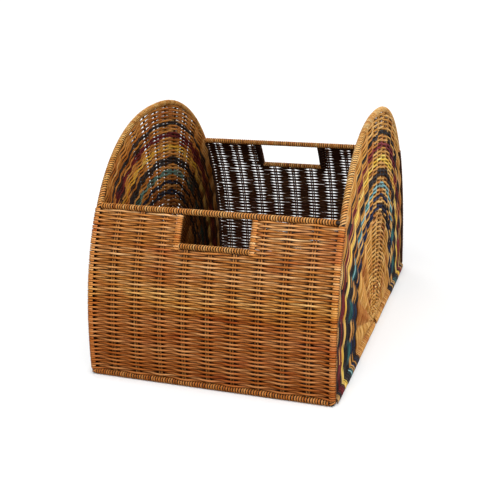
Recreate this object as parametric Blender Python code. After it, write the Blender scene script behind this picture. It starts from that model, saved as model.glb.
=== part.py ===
"""Rattan laundry basket with two arched end panels, built piece by piece in metres, +Z up.

X runs along the width, Y along the depth with the front at -Y, and the origin is the middle of the
footprint on the floor. Every rod is a straight or bent bar, each rod but the stakes wears a sleeve of
wound cane, and every woven panel is a closed sheet with a tunnel for each pair of stakes.
"""

import math

import bmesh
import bpy
import numpy as np
from mathutils import Vector

# Overall size, measured over the wound cane
BASKET_WIDTH = 0.406
BASKET_DEPTH = 0.596
BASKET_HEIGHT = 0.386
RIM_HEIGHT = 0.272
ARCH_FULLNESS = 2.3

# Frame rods and the cane wound round them
ROD_DIAMETER = 0.006
WRAP_DIAMETER = 0.011
HANDLE_ROD_DIAMETER = 0.006
HANDLE_WRAP_DIAMETER = 0.0107

# Square-cut stakes stand in pairs, and the weaving cane passes before and behind them
STAKE_SIZE = 0.003
STAKE_PAIR_SPACING = 0.0039
CANE_DIAMETER = 0.0032

# Walls and base swell over each stake pair and draw in to this thickness between two pairs
WEAVE_WAIST = 0.0044

# Stake pairs in each panel, and how far the first one stands from the middle of the arch rod
FRONT_STAKE_PAIRS = 9
FRONT_STAKE_MARGIN = 0.0375
BACK_STAKE_PAIRS = 10
BACK_STAKE_MARGIN = 0.0265
BASE_STAKE_PAIRS = 9
BASE_STAKE_MARGIN = 0.0375
END_STAKE_PAIRS = 21

# Hand holes: clear width and height, and where their middle lies across the wall
FRONT_HOLE_WIDTH = 0.112
FRONT_HOLE_HEIGHT = 0.043
FRONT_HOLE_MIDDLE = 0.005
BACK_HOLE_WIDTH = 0.117
BACK_HOLE_HEIGHT = 0.047
BACK_HOLE_MIDDLE = -0.0185

# Clearances
FIT_GAP = 0.0003
JOINT_GAP = 0.0006
RING_GAP = 0.0005

# Where the rings of an end panel meet, as shares of the way from the middle of its base to the arch,
# once on the line up to the top of the arch and once along the base
HUB_SHARES = (0.13, 0.14)
CENTRE_SHARES = (0.53, 0.49)
COOL_BAND_SHARES = (0.742, 0.79)
WARM_BAND_SHARES = (0.923, 0.965)
OUTER_SHARES = (1.0, 1.0)
SIDE_LINE_SHARE = 0.25

# Steps in the curved pieces: a stake pair to the waist beside it, base to rim, rim to top of the arch,
# and points of the smooth curve
RIB_STEPS = 2
WALL_STEPS = 6
CROWN_STEPS = 5
CURVE_POINTS = 2000
ROD_SIDES = 8
SMOOTH_ANGLE = math.radians(62)

# Values that follow from the ones above
WRAP_RADIUS = WRAP_DIAMETER / 2
ROD_RADIUS = ROD_DIAMETER / 2
ARCH_X = BASKET_WIDTH / 2 - WRAP_RADIUS
ARCH_HALF_DEPTH = BASKET_DEPTH / 2 - WRAP_RADIUS
ARCH_RISE = BASKET_HEIGHT - WRAP_DIAMETER
BASE_Z = WRAP_RADIUS
RIM_Z = RIM_HEIGHT - WRAP_RADIUS
WEAVE_THICKNESS = STAKE_SIZE + 2 * CANE_DIAMETER
TUNNEL_THICKNESS = STAKE_SIZE + 2 * FIT_GAP
PAIR_INNER = (STAKE_PAIR_SPACING - STAKE_SIZE) / 2
PAIR_OUTER = (STAKE_PAIR_SPACING + STAKE_SIZE) / 2
PAIR_LINES = (-PAIR_OUTER, -PAIR_INNER, PAIR_INNER, PAIR_OUTER)
TUNNEL_HALF_WIDTH = PAIR_OUTER + FIT_GAP
STAKE_LAYERS = (-STAKE_SIZE / 2, STAKE_SIZE / 2)
SHEET_LAYERS = (
    -WEAVE_THICKNESS / 2,
    -TUNNEL_THICKNESS / 2,
    TUNNEL_THICKNESS / 2,
    WEAVE_THICKNESS / 2,
)
X_AXIS = Vector((1, 0, 0))
Y_AXIS = Vector((0, 1, 0))


def clear_scene():
    for item in list(bpy.data.objects):
        bpy.data.objects.remove(item, do_unlink=True)


def finish(name, color, roughness, metallic=0.0):
    """One Principled material in the colour of the piece."""
    material = bpy.data.materials.new(name)
    material.use_nodes = True
    shader = material.node_tree.nodes["Principled BSDF"]
    shader.inputs["Base Color"].default_value = (*color, 1.0)
    shader.inputs["Roughness"].default_value = roughness
    shader.inputs["Metallic"].default_value = metallic
    material.diffuse_color = (*color, 1.0)
    return material


class Arch:
    """The bent line that both ends follow: a half superellipse, cut into straight steps.

    Distances run along it from the base rod's middle. Pieces offset from it by the same steps stay
    parallel, because each step's corner is offset along its mitre.
    """

    def __init__(self):
        angles = np.linspace(0, math.pi / 2, CURVE_POINTS)
        power = 2 / ARCH_FULLNESS
        out = ARCH_HALF_DEPTH * np.cos(angles).clip(0) ** power
        up = BASE_Z + ARCH_RISE * np.sin(angles).clip(0) ** power
        run = np.concatenate([[0], np.cumsum(np.hypot(np.diff(out), np.diff(up)))])
        self.rim = float(np.interp(RIM_Z, up, run))
        self.top = float(run[-1])
        lower = np.linspace(0, self.rim, WALL_STEPS + 1)
        upper = np.linspace(self.rim, self.top, CROWN_STEPS + 1)[1:]
        self.stops = np.concatenate([lower, upper])
        corners = np.stack([np.interp(self.stops, run, out), np.interp(self.stops, run, up)], axis=1)
        before = np.vstack([[corners[0, 0], 0], corners[:-1]])
        after = np.vstack([corners[1:], [-corners[-2, 0], corners[-2, 1]]])
        self.corners = corners
        self.mitres = np.array([mitre(*trio) for trio in zip(before, corners, after)])

    def point(self, distance, offset=0.0):
        """The (out, up) place at a distance along the stepped line, offset outwards."""
        line = self.corners + offset * self.mitres
        return Vector((float(np.interp(distance, self.stops, line[:, 0])),
                       float(np.interp(distance, self.stops, line[:, 1]))))

    def over(self, run, offset):
        """The (y, z) place after a run that starts at the front foot and goes over the top to the back."""
        out, up = self.point(min(run, 2 * self.top - run), offset)
        return Vector((-out if run < self.top else out, up))


def mitre(before, corner, after):
    """The outward mitre at a corner of a line that climbs anticlockwise, long enough to keep offsets true."""
    one = (corner - before) / np.linalg.norm(corner - before)
    two = (after - corner) / np.linalg.norm(after - corner)
    normal_one = np.array([one[1], -one[0]])
    normal_two = np.array([two[1], -two[0]])
    return (normal_one + normal_two) / (1 + normal_one @ normal_two)


def add_object(name, mesh_builder, material):
    """An object from a bmesh, faces outwards and round faces smooth."""
    bmesh.ops.recalc_face_normals(mesh_builder, faces=mesh_builder.faces)
    mesh = bpy.data.meshes.new(name)
    mesh_builder.to_mesh(mesh)
    mesh_builder.free()
    mesh.shade_smooth()
    mesh.set_sharp_from_angle(angle=SMOOTH_ANGLE)
    mesh.materials.append(material)
    item = bpy.data.objects.new(name, mesh)
    bpy.context.scene.collection.objects.link(item)
    return item


def section_frames(path, side):
    """For each path point, the two vectors that carry a section: the side axis and the mitre."""
    frames = []
    for index, point in enumerate(path):
        before = point - path[index - 1] if index else path[1] - point
        after = path[index + 1] - point if index + 1 < len(path) else before
        normal_one = side.cross(before.normalized())
        normal_two = side.cross(after.normalized())
        frames.append((side, (normal_one + normal_two) / (1 + normal_one.dot(normal_two))))
    return frames


def bar(name, path, side, diameter, material, bore=None):
    """A bar along a path that lies square to the side axis, whose flats touch the stated diameter."""
    mesh_builder = bmesh.new()
    frames = section_frames(path, side)
    turns = [math.pi / ROD_SIDES * (2 * step + 1) for step in range(ROD_SIDES)]
    rings = []
    for size in [diameter] + ([bore] if bore else []):
        radius = size / 2 / math.cos(math.pi / ROD_SIDES)
        rings.append([
            [mesh_builder.verts.new(point + radius * (math.cos(turn) * across + math.sin(turn) * out))
             for turn in turns]
            for point, (across, out) in zip(path, frames)
        ])
    for ring in rings:
        for near, far in zip(ring, ring[1:]):
            for step in range(ROD_SIDES):
                after = (step + 1) % ROD_SIDES
                mesh_builder.faces.new((near[step], near[after], far[after], far[step]))
    for end in (0, -1):
        if not bore:
            mesh_builder.faces.new(rings[0][end])
            continue
        outer, inner = rings[0][end], rings[1][end]
        for step in range(ROD_SIDES):
            after = (step + 1) % ROD_SIDES
            mesh_builder.faces.new((outer[step], outer[after], inner[after], inner[step]))
    return add_object(name, mesh_builder, material)


def cut_holes(item, holes):
    """Round holes through one side of a sleeve, where another rod comes in to meet its rod."""
    for number, (path, side, diameter) in enumerate(holes):
        cutter = bar(f"{item.name}_hole_{number}", path, side, diameter, item.data.materials[0])
        cutter.hide_render = True
        cutter.display_type = "WIRE"
        cut = item.modifiers.new(f"hole_{number}", "BOOLEAN")
        cut.operation = "DIFFERENCE"
        cut.solver = "EXACT"
        cut.object = cutter


def cell_body(name, counts, is_solid, place, material):
    """The skin of the solid cells in a bent grid of lines."""
    mesh_builder = bmesh.new()
    corners = {}

    def corner(index):
        if index not in corners:
            corners[index] = mesh_builder.verts.new(place(*index))
        return corners[index]

    def solid(cell):
        inside = all(0 <= number < count - 1 for number, count in zip(cell, counts))
        return inside and is_solid(*cell)

    quads = {0: ((0, 0), (1, 0), (1, 1), (0, 1)), 1: ((0, 0), (0, 1), (1, 1), (1, 0))}
    for cell in np.ndindex(*(count - 1 for count in counts)):
        if not solid(cell):
            continue
        for axis in range(3):
            for side in (0, 1):
                beyond = list(cell)
                beyond[axis] += 1 if side else -1
                if solid(beyond):
                    continue
                face = []
                for steps in quads[side]:
                    index = list(cell)
                    index[axis] += side
                    index[(axis + 1) % 3] += steps[0]
                    index[(axis + 2) % 3] += steps[1]
                    face.append(corner(tuple(index)))
                mesh_builder.faces.new(face)
    return add_object(name, mesh_builder, material)


def spread(count, margin):
    """Places of a row of stake pairs, even across the basket, the outer ones a margin from the arch rods."""
    reach = ARCH_X - margin
    return [reach * (2 * number / (count - 1) - 1) for number in range(count)]


class Ribs:
    """How a weave swells at its edges and over its stake pairs, and draws in between them."""

    def __init__(self, edge, stake_places):
        self.tunnels = [(x - TUNNEL_HALF_WIDTH, x + TUNNEL_HALF_WIDTH) for x in stake_places]
        starts = [-edge] + [high for low, high in self.tunnels]
        ends = [low for low, high in self.tunnels] + [edge]
        self.gaps = list(zip(starts, ends))

    def lines(self):
        """The lines across the weave, with those at and on the way to each waist."""
        steps = 2 * RIB_STEPS
        return [start + (end - start) * step / steps for start, end in self.gaps for step in range(steps + 1)]

    def in_tunnel(self, x):
        return any(low < x < high for low, high in self.tunnels)

    def offset(self, x, layer):
        """How far a layer of the weave is from its middle, at a place across it."""
        swell = 1
        for start, end in self.gaps:
            if start < x < end:
                swell = abs(math.cos(math.pi * (x - start) / (end - start)))
        thickness = WEAVE_WAIST + (WEAVE_THICKNESS - WEAVE_WAIST) * swell
        return SHEET_LAYERS[layer] * thickness / WEAVE_THICKNESS


def wall_place(arch, facing, x, distance, offset=0.0):
    """A point of the front or back wall: across, along the bent wall, and out from it."""
    out, up = arch.point(distance, offset)
    return Vector((x, facing * out, up))


class Handle:
    """A hand hole under the rim: a bent rod that hangs from the rim rod and carries the cut weave."""

    def __init__(self, arch, facing, width, height, middle):
        self.facing = facing
        self.half_width = width / 2
        self.middle = middle
        self.bar_distance = arch.rim - WRAP_RADIUS - height - HANDLE_WRAP_DIAMETER / 2
        self.notch_distance = self.bar_distance - HANDLE_WRAP_DIAMETER / 2 - JOINT_GAP
        self.notch_half_width = self.half_width + HANDLE_WRAP_DIAMETER + FIT_GAP
        self.rim_point = wall_place(arch, facing, 0, arch.rim)
        self.bar_point = wall_place(arch, facing, 0, self.bar_distance)
        self.down = (self.bar_point - self.rim_point).normalized()
        self.normal = self.down.cross(X_AXIS)

    def upright_x(self, side):
        return self.middle + side * (self.half_width + HANDLE_WRAP_DIAMETER / 2)

    def path(self, top_gap):
        top = self.rim_point + self.down * top_gap
        left, right = (X_AXIS * self.upright_x(side) for side in (-1, 1))
        return [top + left, self.bar_point + left, self.bar_point + right, top + right]

    def spans(self, x, margin=0.0):
        """Whether the notch reaches a place across the wall, or comes within a margin of it."""
        return abs(x - self.middle) < self.notch_half_width + margin


def arch_path(arch, x, foot):
    """The stepped line from the front foot over the top to the back foot."""
    half = [Vector((x, -out, up)) for out, up in arch.corners]
    half.insert(0, Vector((x, half[0].y, foot)))
    return half + [Vector((x, -point.y, point.z)) for point in reversed(half[:-1])]


def make_arches(arch, steel, wound):
    """Both bent end rods, each in its sleeve, with holes where the base and rim rods meet them."""
    for name, side in (("left", -1), ("right", 1)):
        x = side * ARCH_X
        rod_path = arch_path(arch, x, BASE_Z - ROD_RADIUS)
        wrap_path = arch_path(arch, x, 0)
        bar(f"{name}_arch_rod", rod_path, X_AXIS, ROD_DIAMETER, steel)
        wrap = bar(f"{name}_arch_wrap", wrap_path, X_AXIS, WRAP_DIAMETER, wound,
                   bore=ROD_DIAMETER + 2 * FIT_GAP)
        holes = []
        inward = -side * X_AXIS
        for facing in (-1, 1):
            base = Vector((x, facing * ARCH_HALF_DEPTH, BASE_Z))
            rim = wall_place(arch, facing, x, arch.rim)
            for start, way, across in (
                (base, inward, Y_AXIS),
                (base, -facing * Y_AXIS, X_AXIS),
                (rim, inward, rim_side(arch, facing)),
            ):
                reach = [start + way * ROD_RADIUS, start + way * WRAP_DIAMETER]
                holes.append((reach, across, ROD_DIAMETER + 2 * JOINT_GAP))
        cut_holes(wrap, holes)


def rim_side(arch, facing):
    """The wall's outward direction at the rim, which the rim rods' flats follow."""
    inner = wall_place(arch, facing, 0, arch.rim)
    outer = wall_place(arch, facing, 0, arch.rim, WRAP_RADIUS)
    return (outer - inner).normalized()


def make_cross_rod(name, middle, way, side, reach, steel, wound):
    """A straight rod between two others with its sleeve, which stops short of their sleeves."""
    rod_reach = reach - ROD_RADIUS - FIT_GAP
    wrap_reach = reach - WRAP_RADIUS - FIT_GAP
    rod_path = [middle - way * rod_reach, middle + way * rod_reach]
    wrap_path = [middle - way * wrap_reach, middle + way * wrap_reach]
    bar(f"{name}_rod", rod_path, side, ROD_DIAMETER, steel)
    return bar(f"{name}_wrap", wrap_path, side, WRAP_DIAMETER, wound, bore=ROD_DIAMETER + 2 * FIT_GAP)


def make_base_frame(steel, wound):
    for name, facing in (("front", -1), ("back", 1)):
        middle = Vector((0, facing * ARCH_HALF_DEPTH, BASE_Z))
        make_cross_rod(f"{name}_base", middle, X_AXIS, Y_AXIS, ARCH_X, steel, wound)
    for name, side in (("left", -1), ("right", 1)):
        middle = Vector((side * ARCH_X, 0, BASE_Z))
        make_cross_rod(f"{name}_base", middle, Y_AXIS, X_AXIS, ARCH_HALF_DEPTH, steel, wound)


def make_rims(arch, handles, steel, wound):
    """Straight top rods of the front and back walls, with holes for the hand-hole rods."""
    for name, handle in handles.items():
        side = rim_side(arch, handle.facing)
        rim_wrap = make_cross_rod(f"{name}_rim", handle.rim_point, X_AXIS, side, ARCH_X, steel, wound)
        holes = []
        for upright in (-1, 1):
            start = handle.rim_point + X_AXIS * handle.upright_x(upright)
            reach = [start + handle.down * ROD_RADIUS, start + handle.down * WRAP_DIAMETER]
            holes.append((reach, X_AXIS, HANDLE_ROD_DIAMETER + 2 * JOINT_GAP))
        cut_holes(rim_wrap, holes)


def make_handles(handles, steel, wound):
    """The bent rod round each hand hole and the cane wound on it."""
    for name, handle in handles.items():
        rod_path = handle.path(ROD_RADIUS + FIT_GAP)
        wrap_path = handle.path(WRAP_RADIUS + FIT_GAP)
        bar(f"{name}_handle_rod", rod_path, handle.normal, HANDLE_ROD_DIAMETER, steel)
        bar(f"{name}_handle_wrap", wrap_path, handle.normal, HANDLE_WRAP_DIAMETER, wound,
            bore=HANDLE_ROD_DIAMETER + 2 * FIT_GAP)


def wall_range(arch):
    """Where a woven wall starts above the foot rail of its stakes and ends under the rim wrap."""
    return WRAP_RADIUS + STAKE_SIZE + 2 * FIT_GAP, arch.rim - WRAP_RADIUS - FIT_GAP


def make_wall_weave(name, arch, handle, stake_places, weave):
    """The woven wall: a ribbed sheet bent along the arch with a tunnel for each stake pair."""
    ribs = Ribs(ARCH_X - WRAP_RADIUS - FIT_GAP, stake_places)
    notch = [handle.middle - handle.notch_half_width, handle.middle + handle.notch_half_width]
    across = sorted(ribs.lines() + notch)
    bottom, top = wall_range(arch)
    along = [bottom] + [stop for stop in arch.stops if bottom < stop < top] + [handle.notch_distance, top]
    along.sort()

    def is_solid(column, row, layer):
        x = (across[column] + across[column + 1]) / 2
        if along[row] >= handle.notch_distance and handle.spans(x):
            return False
        return layer != 1 or not ribs.in_tunnel(x)

    def place(column, row, layer):
        x = across[column]
        return wall_place(arch, handle.facing, x, along[row], ribs.offset(x, layer))

    cell_body(f"{name}_weave", (len(across), len(along), len(SHEET_LAYERS)), is_solid, place, weave)


def make_wall_stakes(name, arch, handle, stake_places, cane):
    """Stake pairs on a foot rail, up to the rim or to the bar under the hand hole."""
    across = [middle + line for middle in stake_places for line in PAIR_LINES]
    bottom, top = wall_range(arch)
    along = [WRAP_RADIUS + FIT_GAP, bottom - FIT_GAP, handle.notch_distance, top]
    along += [stop for stop in arch.stops if bottom < stop < top]
    along.sort()

    def is_solid(column, row, layer):
        if row == 0:
            return True
        middle = stake_places[column // len(PAIR_LINES)]
        cut_short = along[row] >= handle.notch_distance and handle.spans(middle, TUNNEL_HALF_WIDTH)
        return column % 2 == 0 and not cut_short

    def place(column, row, layer):
        return wall_place(arch, handle.facing, across[column], along[row], STAKE_LAYERS[layer])

    cell_body(f"{name}_stakes", (len(across), len(along), len(STAKE_LAYERS)), is_solid, place, cane)


def make_base(cane, weave):
    """The woven bottom on stake pairs that run from front to back between two end rails."""
    half_width = ARCH_X - WRAP_RADIUS - FIT_GAP
    half_depth = ARCH_HALF_DEPTH - WRAP_RADIUS - FIT_GAP
    woven_depth = half_depth - STAKE_SIZE - FIT_GAP
    places = spread(BASE_STAKE_PAIRS, BASE_STAKE_MARGIN)
    ribs = Ribs(half_width, places)
    sheet_lines = ribs.lines()
    stake_lines = [x + line for x in places for line in PAIR_LINES]
    stake_depth = [-half_depth, STAKE_SIZE - half_depth, half_depth - STAKE_SIZE, half_depth]

    def sheet_solid(column, row, layer):
        return layer != 1 or not ribs.in_tunnel((sheet_lines[column] + sheet_lines[column + 1]) / 2)

    def sheet_place(column, row, layer):
        x = sheet_lines[column]
        depth = woven_depth if row else -woven_depth
        return Vector((x, depth, BASE_Z + ribs.offset(x, layer)))

    def stake_solid(column, row, layer):
        return column % 2 == 0 or row != 1

    def stake_place(column, row, layer):
        return Vector((stake_lines[column], stake_depth[row], BASE_Z + STAKE_LAYERS[layer]))

    sheet_counts = (len(sheet_lines), 2, len(SHEET_LAYERS))
    stake_counts = (len(stake_lines), len(stake_depth), len(STAKE_LAYERS))
    cell_body("base_weave", sheet_counts, sheet_solid, sheet_place, weave)
    cell_body("base_stakes", stake_counts, stake_solid, stake_place, cane)


class EndRay:
    """One radial line of an end panel, from the middle of its base to the arch sleeve."""

    def __init__(self, arch, share):
        first = WRAP_RADIUS + FIT_GAP
        last = 2 * arch.top - first
        run = first + share * (last - first)
        inside = -(WRAP_RADIUS + JOINT_GAP)
        before = arch.over(max(run - STAKE_SIZE, first), inside)
        after = arch.over(min(run + STAKE_SIZE, last), inside)
        self.hub = Vector((0, WRAP_DIAMETER + FIT_GAP))
        self.end = arch.over(run, inside)
        self.tangent = (after - before).normalized()
        self.reach = (self.end - self.hub).length
        self.way = (self.end - self.hub).normalized()
        self.lean = abs(self.way.x * self.tangent.y - self.way.y * self.tangent.x)
        self.slant = abs(self.way.dot(self.tangent)) / self.lean
        self.fall = (2 * math.atan2(abs(self.way.x), self.way.y) / math.pi) ** 2

    def along(self, shares):
        """How far along the ray a ring edge lies, between its share at the top and at the base."""
        top, base = shares
        return self.reach * (top + (base - top) * self.fall)

    def place(self, length, beside=0.0):
        """A point on a line beside the ray, slid along the arch so that ring edges stay true."""
        return self.hub + self.way * length + self.tangent * (beside / self.lean)


def end_rays(arch, step=1):
    """The rays that carry stakes, every one or every second one."""
    count = END_STAKE_PAIRS
    return [EndRay(arch, (number + 1) / (count + 1)) for number in range(0, count, step)]


def make_end_ring(name, x, rays, edges, inner, outer, weave):
    """One ring of an end panel's weave, outside the stake rail on its inner edge if it has one."""
    lines = [(edges[0], 0.0)]
    lines += [(ray, side * TUNNEL_HALF_WIDTH) for ray in rays for side in (-1, 1)]
    lines.append((edges[1], 0.0))
    inner_shares, inner_rail = inner

    def is_solid(column, row, layer):
        return column % 2 == 0 or layer != 1

    def place(column, row, layer):
        ray, beside = lines[column]
        length = ray.along(outer) - RING_GAP if row else ray.along(inner_shares) + inner_rail
        y, z = ray.place(length, beside)
        return Vector((x + SHEET_LAYERS[layer], y, z))

    cell_body(name, (len(lines), 2, len(SHEET_LAYERS)), is_solid, place, weave)


def make_end_hub(name, x, rays, edges, weave):
    """The plain start of the weave, a half disc on the middle of the base rod."""
    outline = [edge.place(edge.along(HUB_SHARES) - RING_GAP) for edge in [edges[0], *rays, edges[1]]]
    mesh_builder = bmesh.new()
    verts = [mesh_builder.verts.new((x - WEAVE_THICKNESS / 2, y, z)) for y, z in outline]
    face = mesh_builder.faces.new(verts)
    grown = bmesh.ops.extrude_face_region(mesh_builder, geom=[face])
    moved = [part for part in grown["geom"] if isinstance(part, bmesh.types.BMVert)]
    bmesh.ops.translate(mesh_builder, verts=moved, vec=X_AXIS * WEAVE_THICKNESS)
    add_object(name, mesh_builder, weave)


def make_end_stakes(name, x, rays, cane):
    """Stake pairs that radiate from a rail round the hub.

    Every second pair starts outside the centre weave, on a rail that joins it to its neighbours. Inside
    that rail its lines only divide the hub rail, so they are drawn close together there.
    """
    lines = [(number, line) for number in range(len(rays)) for line in PAIR_LINES]

    def is_solid(column, row, layer):
        number = column // len(PAIR_LINES)
        is_stake = column % 2 == 0
        is_main = number % 2 == 0
        return row % 2 == 0 or (is_stake and (is_main or row == 3))

    def place(column, row, layer):
        number, beside = lines[column]
        ray = rays[number]
        if number % 2 and row < 2:
            beside *= SIDE_LINE_SHARE
        lengths = (
            ray.along(HUB_SHARES),
            ray.along(HUB_SHARES) + STAKE_SIZE,
            ray.along(CENTRE_SHARES),
            ray.along(CENTRE_SHARES) + STAKE_SIZE,
            ray.along(OUTER_SHARES) - FIT_GAP - ray.slant * TUNNEL_HALF_WIDTH,
        )
        y, z = ray.place(lengths[row], beside)
        return Vector((x + STAKE_LAYERS[layer], y, z))

    cell_body(name, (len(lines), 5, len(STAKE_LAYERS)), is_solid, place, cane)


def make_ends(arch, cane, weave, cool, warm):
    """Both arched end panels: hub, centre, dyed bands and border round one fan of stakes."""
    all_rays = end_rays(arch)
    main_rays = end_rays(arch, 2)
    edges = (EndRay(arch, 0.0), EndRay(arch, 1.0))
    rail = STAKE_SIZE + FIT_GAP
    for name, side in (("left", -1), ("right", 1)):
        x = side * ARCH_X
        make_end_hub(f"{name}_hub_weave", x, main_rays, edges, weave)
        for ring, rays, inner, outer, material in (
            ("centre", main_rays, (HUB_SHARES, rail), CENTRE_SHARES, weave),
            ("cool_band", all_rays, (CENTRE_SHARES, rail), COOL_BAND_SHARES, cool),
            ("warm_band", all_rays, (COOL_BAND_SHARES, 0.0), WARM_BAND_SHARES, warm),
            ("border", all_rays, (WARM_BAND_SHARES, 0.0), OUTER_SHARES, weave),
        ):
            make_end_ring(f"{name}_{ring}_weave", x, rays, edges, inner, outer, material)
        make_end_stakes(f"{name}_end_stakes", x, all_rays, cane)


def make_basket():
    clear_scene()
    steel = finish("frame_rod", (0.10, 0.09, 0.08), 0.5, 0.9)
    wound = finish("wound_cane", (0.52, 0.29, 0.11), 0.5)
    weave = finish("woven_cane", (0.45, 0.23, 0.08), 0.55)
    cool = finish("dyed_cool_cane", (0.05, 0.16, 0.17), 0.55)
    warm = finish("dyed_warm_cane", (0.35, 0.14, 0.06), 0.55)
    cane = finish("stake_cane", (0.36, 0.19, 0.08), 0.6)
    arch = Arch()
    handles = {
        "front": Handle(arch, -1, FRONT_HOLE_WIDTH, FRONT_HOLE_HEIGHT, FRONT_HOLE_MIDDLE),
        "back": Handle(arch, 1, BACK_HOLE_WIDTH, BACK_HOLE_HEIGHT, BACK_HOLE_MIDDLE),
    }
    stake_places = {
        "front": spread(FRONT_STAKE_PAIRS, FRONT_STAKE_MARGIN),
        "back": spread(BACK_STAKE_PAIRS, BACK_STAKE_MARGIN),
    }
    make_arches(arch, steel, wound)
    make_base_frame(steel, wound)
    make_rims(arch, handles, steel, wound)
    make_handles(handles, steel, wound)
    for name, handle in handles.items():
        make_wall_weave(name, arch, handle, stake_places[name], weave)
        make_wall_stakes(name, arch, handle, stake_places[name], cane)
    make_base(cane, weave)
    make_ends(arch, cane, weave, cool, warm)


make_basket()
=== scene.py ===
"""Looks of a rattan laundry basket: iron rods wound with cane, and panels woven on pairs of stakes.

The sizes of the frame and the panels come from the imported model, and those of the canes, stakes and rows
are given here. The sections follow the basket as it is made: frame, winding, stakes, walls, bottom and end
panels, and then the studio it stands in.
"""

import math

import bpy
import numpy as np
from mathutils import Matrix, Vector


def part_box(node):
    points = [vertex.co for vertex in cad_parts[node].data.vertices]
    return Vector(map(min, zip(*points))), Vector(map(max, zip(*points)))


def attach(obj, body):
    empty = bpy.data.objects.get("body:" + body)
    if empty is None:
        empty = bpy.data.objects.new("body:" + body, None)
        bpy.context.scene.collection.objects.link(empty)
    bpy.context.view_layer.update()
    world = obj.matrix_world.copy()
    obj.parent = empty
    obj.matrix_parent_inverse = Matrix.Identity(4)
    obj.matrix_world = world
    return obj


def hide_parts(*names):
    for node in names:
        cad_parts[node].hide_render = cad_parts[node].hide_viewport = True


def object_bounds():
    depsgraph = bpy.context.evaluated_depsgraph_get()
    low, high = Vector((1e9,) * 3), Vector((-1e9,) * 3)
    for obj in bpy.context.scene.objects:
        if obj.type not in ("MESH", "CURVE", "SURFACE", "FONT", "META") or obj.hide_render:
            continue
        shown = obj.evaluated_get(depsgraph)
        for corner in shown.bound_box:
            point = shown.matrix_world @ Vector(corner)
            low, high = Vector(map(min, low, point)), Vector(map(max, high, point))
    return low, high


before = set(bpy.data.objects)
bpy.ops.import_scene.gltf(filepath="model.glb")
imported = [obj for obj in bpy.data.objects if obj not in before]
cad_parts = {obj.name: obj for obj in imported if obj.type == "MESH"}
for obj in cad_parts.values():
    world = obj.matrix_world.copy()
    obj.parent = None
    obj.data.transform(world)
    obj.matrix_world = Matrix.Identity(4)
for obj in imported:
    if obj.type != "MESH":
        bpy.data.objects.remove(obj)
cad_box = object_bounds()


# The frame is iron rod, bent and welded: an arch at each end, two rims, four base rods and a bent rod
# round each hand hole. The cane covers it, so that it shows only as a dark line between turns.
class Wire:
    """An output of a node, in arithmetic that adds Math and Vector Math nodes to its tree."""

    def __init__(self, board, socket):
        self.board = board
        self.socket = socket

    def math(self, operation, *others):
        return self.board.node("ShaderNodeMath", {"operation": operation}, [self, *others])

    def vector(self, operation, *others):
        return self.board.node("ShaderNodeVectorMath", {"operation": operation}, [self, *others])

    def join(self, operation, first, second):
        sides = (first, second)
        is_vector = any(isinstance(side, Vector) or getattr(side, "is_vector", False) for side in sides)
        kind = "ShaderNodeVectorMath" if is_vector else "ShaderNodeMath"
        return self.board.node(kind, {"operation": operation}, sides)

    @property
    def is_vector(self):
        return self.socket.type == "VECTOR"

    def __add__(self, other):
        return self.join("ADD", self, other)

    def __radd__(self, other):
        return self.join("ADD", other, self)

    def __sub__(self, other):
        return self.join("SUBTRACT", self, other)

    def __rsub__(self, other):
        return self.join("SUBTRACT", other, self)

    def __mul__(self, other):
        if self.is_vector:
            return self.vector("SCALE", other)
        if isinstance(other, Vector) or getattr(other, "is_vector", False):
            return self.board.node("ShaderNodeVectorMath", {"operation": "SCALE"}, [other, self])
        return self.math("MULTIPLY", other)

    def __rmul__(self, other):
        return self * other

    def __truediv__(self, other):
        return self.math("DIVIDE", other)

    def between(self, low, high):
        return self.math("MAXIMUM", low).math("MINIMUM", high)


class Board:
    """A node tree under construction, of a material or of Geometry Nodes."""

    def __init__(self, tree):
        self.tree = tree

    def node(self, kind, settings=None, values=(), output=None):
        """Adds a node, its settings first and then its sockets, and gives back one of its outputs."""
        made = self.tree.nodes.new(kind)
        for name, setting in (settings or {}).items():
            if name == "stops":
                self.fill_ramp(made.color_ramp, setting)
            else:
                setattr(made, name, setting)
        sockets = [socket for socket in made.inputs if socket.enabled]
        named = {socket.name: socket for socket in sockets}
        for key, value in values.items() if isinstance(values, dict) else enumerate(values):
            self.feed(sockets[key] if isinstance(key, int) else named[key], value)
        outputs = {socket.name: socket for socket in reversed(made.outputs) if socket.enabled}
        if not outputs:
            return None
        return Wire(self, outputs[output] if output else list(outputs.values())[-1])

    def feed(self, socket, value):
        if isinstance(value, Wire):
            self.tree.links.new(value.socket, socket)
        else:
            socket.default_value = value

    def fill_ramp(self, ramp, stops):
        while len(ramp.elements) < len(stops):
            ramp.elements.new(1.0)
        for element, (position, color) in zip(ramp.elements, stops):
            element.position = position
            element.color = (*color, 1.0)

    def noise(self, places, detail=2.0, roughness=0.5):
        """Smooth noise from 0 to 1 at a place of up to three numbers."""
        where = self.node("ShaderNodeCombineXYZ", values=list(places))
        values = {"Vector": where, "Scale": 1.0, "Detail": detail, "Roughness": roughness}
        return self.node("ShaderNodeTexNoise", values=values, output="Fac")

    def ramp(self, stops, level):
        """The colour on a ramp at a level from 0 to 1."""
        return self.node("ShaderNodeValToRGB", {"stops": stops}, [level], "Color")

    def mix(self, factor, first, second, blend="MIX"):
        """Two colours mixed, or the second laid over the first in another way, by a factor."""
        settings = {"data_type": "RGBA", "blend_type": blend}
        return self.node("ShaderNodeMix", settings, {"Factor": factor, "A": first, "B": second})

    def read(self, attribute):
        return self.node("ShaderNodeAttribute", {"attribute_name": attribute}, output="Fac")

    def split(self, vector):
        """The three numbers of a vector."""
        made = self.node("ShaderNodeSeparateXYZ", values=[vector]).socket.node
        return [Wire(self, socket) for socket in made.outputs]


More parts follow.
